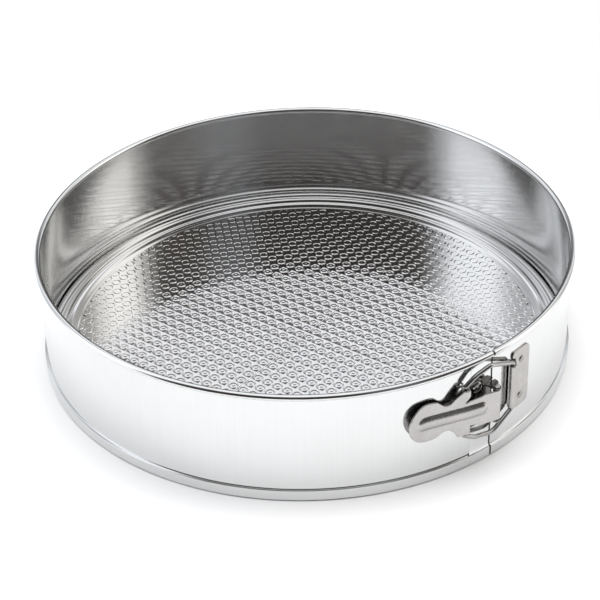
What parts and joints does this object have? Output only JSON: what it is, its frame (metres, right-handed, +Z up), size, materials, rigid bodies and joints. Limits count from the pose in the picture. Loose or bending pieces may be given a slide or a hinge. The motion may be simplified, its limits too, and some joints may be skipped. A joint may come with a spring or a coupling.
{
  "type": "springform pan",
  "caption": "Round springform cake pan: straight-walled sprung ring with rolled rim, wire clasp with thumb lever, and a removable embossed base.",
  "frame": {"origin": "on the pan's axis, at the plane the pan stands on", "axes": "+Z up along the pan's axis; the two ends of the ring meet at x = 0 on the -Y side, where the clasp is; +X towards the keeper half of the ring"},
  "size_m": [0.2844, 0.2908, 0.0635],
  "materials": {
    "ring_tinplate": "bright tinplate with a fine rolling grain",
    "base_tinplate": "bright tinplate, embossed with small round pips",
    "clasp_steel": "satin plated steel sheet",
    "lever_steel": "satin plated steel sheet with stamping marks",
    "wire_steel": "bright drawn steel wire",
    "rivet_steel": "pressed steel rivet heads"
  },
  "bodies": {
    "base": {"base_plate": "base_tinplate"},
    "ring_left": {"band_left": "ring_tinplate", "rim_wire_left": "wire_steel", "hinge_bracket": "clasp_steel", "bracket_rivets": "rivet_steel", "pivot_pin": "wire_steel"},
    "ring_right": {"band_right": "ring_tinplate", "rim_wire_right": "wire_steel", "keeper": "clasp_steel", "keeper_rivets": "rivet_steel"},
    "lever": {"lever": "lever_steel"},
    "bail": {"bail": "wire_steel"}
  },
  "joints": [
    {"name": "lever_pivot", "type": "hinge", "parent": "ring_left", "child": "lever", "pos_m": [-0.002, -0.1465, 0.037], "axis": [0, 0, 1], "range_deg": [0, 120]},
    {"name": "ring_left_flex", "type": "hinge", "parent": "base", "child": "ring_left", "pos_m": [0, 0.1426, 0.03175], "axis": [0, 0, 1], "range_deg": [-1.25, 0]},
    {"name": "ring_right_flex", "type": "hinge", "parent": "base", "child": "ring_right", "pos_m": [0, 0.1426, 0.03175], "axis": [0, 0, 1], "range_deg": [0, 1.25]},
    {"name": "bail_swing", "type": "hinge", "parent": "ring_right", "child": "bail", "pos_m": [0.013, -0.1422, 0.037], "axis": [0, 0, 1], "range_deg": [0, 42.2]}
  ],
  "couplings": [
    {"joint": "ring_left_flex", "follows": "lever_pivot", "ratio": -0.01014},
    {"joint": "ring_right_flex", "follows": "lever_pivot", "ratio": 0.01014},
    {"joint": "bail_swing", "follows": "lever_pivot", "ratio": 0.35}
  ]
}
